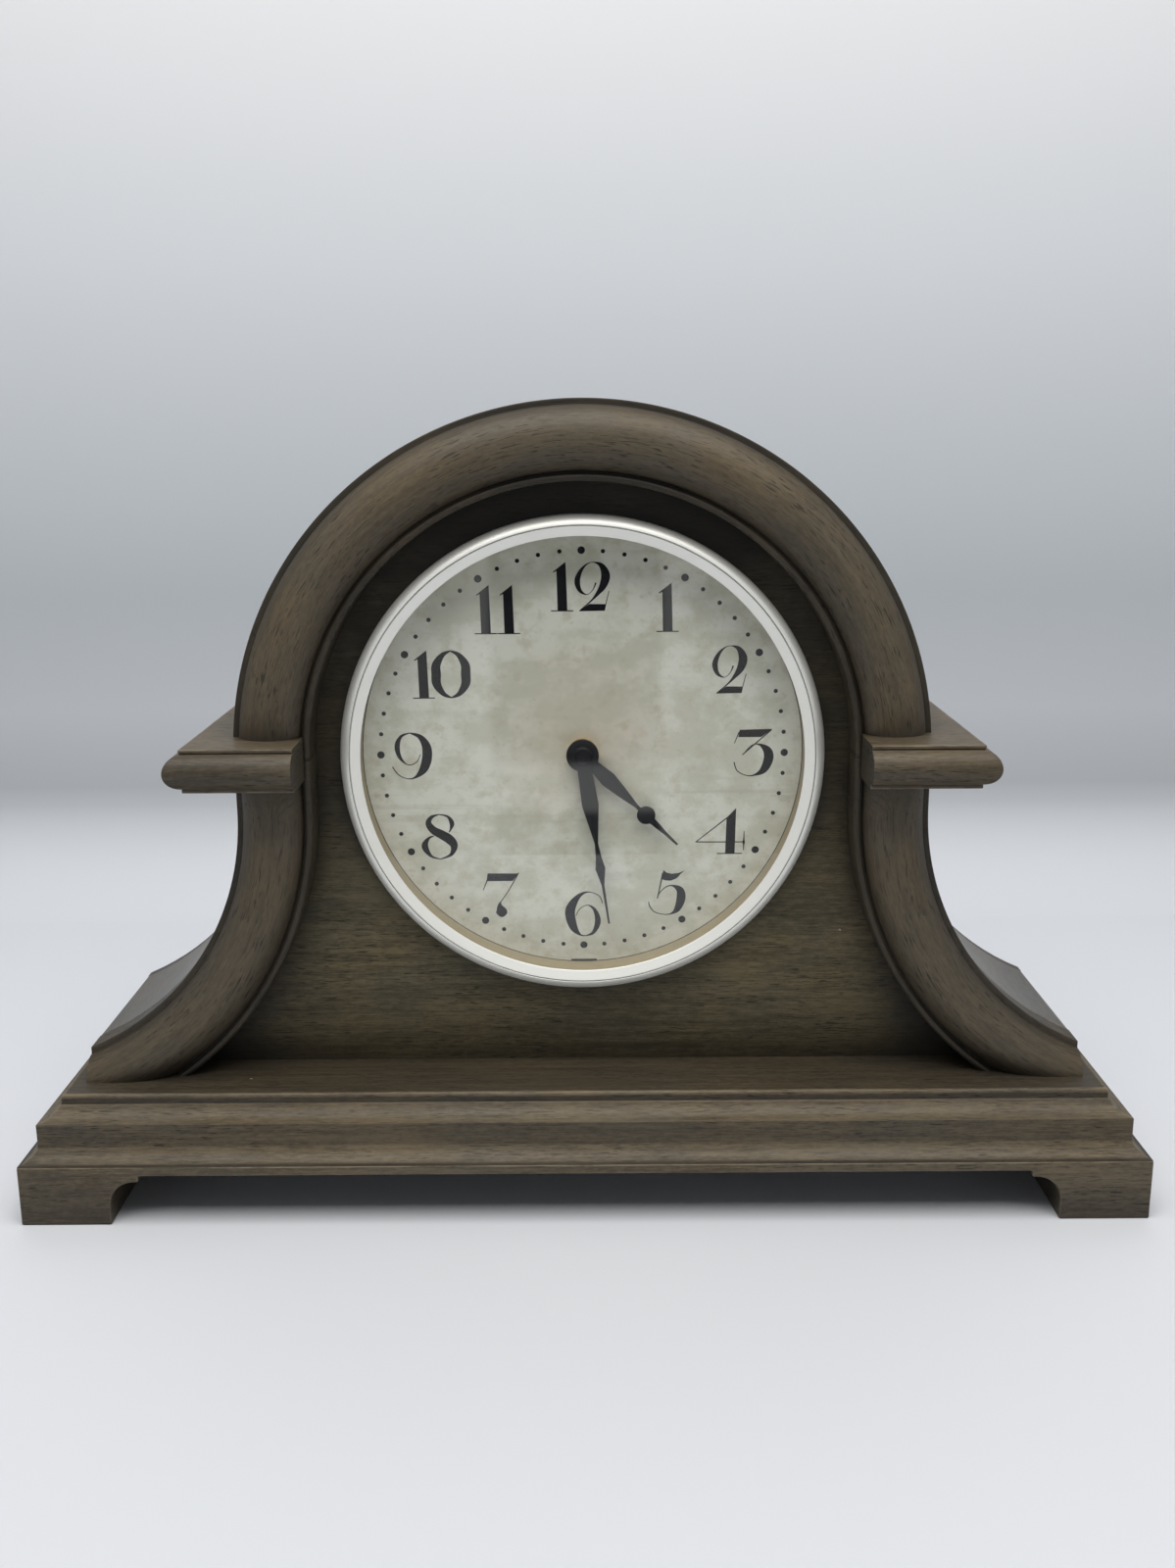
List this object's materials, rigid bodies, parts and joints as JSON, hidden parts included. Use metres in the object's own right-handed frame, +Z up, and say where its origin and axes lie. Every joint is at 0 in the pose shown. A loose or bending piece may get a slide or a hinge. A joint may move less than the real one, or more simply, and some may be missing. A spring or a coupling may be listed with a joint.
{
  "type": "shelf clock",
  "caption": "Arched dark-wood shelf clock on flared legs and a stepped base, with side shelves, silver bezel, aged paper dial and a battery movement.",
  "frame": {"origin": "on the floor plane, under the middle of the clock's outer box", "axes": "+Z up, -Y towards the viewer of the dial, +X to that viewer's right"},
  "size_m": [0.375, 0.104, 0.266],
  "materials": {
    "case_wood": "dark grey-brown stained wood, satin, edges rubbed lighter",
    "back_board": "thin stained board, dull",
    "block_wood": "bare softwood, sawn",
    "bezel_metal": "satin silver",
    "glass": "clear flat glass",
    "spacer_card": "tan card",
    "dial_paper": "aged off-white paper, mottled, printed numerals",
    "dial_metal": "black painted sheet",
    "backing_card": "pressed board",
    "screw_steel": "zinc plated",
    "movement_plastic": "moulded, fine texture",
    "gasket_rubber": "matt",
    "brass": "turned",
    "battery_wrap": "plain shrink wrap",
    "contact_steel": "nickel plated",
    "board_laminate": "green laminate",
    "coil_wire": "enamelled copper winding",
    "hand_black": "black paint, satin",
    "gear_plastic": "natural moulded plastic"
  },
  "bodies": {
    "case": {"foot_plinth": "case_wood", "base_moulding": "case_wood", "front_panel": "case_wood", "hood": "case_wood", "left_side": "case_wood", "right_side": "case_wood", "arch_moulding": "case_wood", "left_leg_moulding": "case_wood", "right_leg_moulding": "case_wood", "left_shelf": "case_wood", "right_shelf": "case_wood", "back_panel": "back_board", "corner_blocks": "block_wood", "base_screws": "screw_steel", "back_screws": "screw_steel", "retaining_screws": "screw_steel", "bezel_ring": "bezel_metal", "glass_lens": "glass", "dial_spacer": "spacer_card", "dial_paper": "dial_paper", "dial_plate": "dial_metal", "dial_backing": "backing_card", "retaining_ring": "dial_metal", "movement_case": "movement_plastic", "movement_cover": "movement_plastic", "movement_gasket": "gasket_rubber", "threaded_bush": "brass", "bush_washer": "brass", "bush_nut": "brass", "battery": "battery_wrap", "battery_contacts": "contact_steel", "circuit_board": "board_laminate", "stator": "contact_steel", "coil": "coil_wire"},
    "minute": {"minute_arbor": "brass", "minute_hand": "hand_black", "hand_cap": "hand_black"},
    "hour": {"hour_wheel": "gear_plastic", "hour_hand": "hand_black"},
    "setting": {"motion_wheel": "gear_plastic", "setting_knob": "movement_plastic"},
    "centre": {"centre_wheel": "gear_plastic"},
    "third": {"third_wheel": "gear_plastic"},
    "second": {"second_wheel": "gear_plastic"},
    "intermediate": {"intermediate_wheel": "gear_plastic"},
    "rotor": {"rotor": "gear_plastic"}
  },
  "joints": [
    {"name": "minute_spin", "type": "hinge", "parent": "case", "child": "minute", "pos_m": [0, 0, 0.1496], "axis": [0, 1, 0], "continuous": true},
    {"name": "hour_spin", "type": "hinge", "parent": "case", "child": "hour", "pos_m": [0, 0, 0.1496], "axis": [0, 1, 0], "continuous": true},
    {"name": "setting_spin", "type": "hinge", "parent": "case", "child": "setting", "pos_m": [0.0096, 0, 0.1496], "axis": [0, 1, 0], "continuous": true},
    {"name": "second_spin", "type": "hinge", "parent": "case", "child": "second", "pos_m": [0.00236, 0, 0.16176], "axis": [0, 1, 0], "continuous": true},
    {"name": "third_spin", "type": "hinge", "parent": "case", "child": "third", "pos_m": [-0.00432, 0, 0.15708], "axis": [0, 1, 0], "continuous": true},
    {"name": "centre_spin", "type": "hinge", "parent": "case", "child": "centre", "pos_m": [0, 0, 0.1496], "axis": [0, 1, 0], "continuous": true},
    {"name": "intermediate_spin", "type": "hinge", "parent": "case", "child": "intermediate", "pos_m": [0.01064, 0, 0.1603], "axis": [0, 1, 0], "continuous": true},
    {"name": "rotor_spin", "type": "hinge", "parent": "case", "child": "rotor", "pos_m": [0.01847, 0, 0.16396], "axis": [0, 1, 0], "continuous": true}
  ],
  "couplings": [
    {"joint": "hour_spin", "follows": "minute_spin", "ratio": 0.083333},
    {"joint": "setting_spin", "follows": "minute_spin", "ratio": -0.33333},
    {"joint": "third_spin", "follows": "second_spin", "ratio": -0.13333},
    {"joint": "centre_spin", "follows": "second_spin", "ratio": 0.016667},
    {"joint": "intermediate_spin", "follows": "second_spin", "ratio": -6},
    {"joint": "rotor_spin", "follows": "second_spin", "ratio": 30}
  ]
}
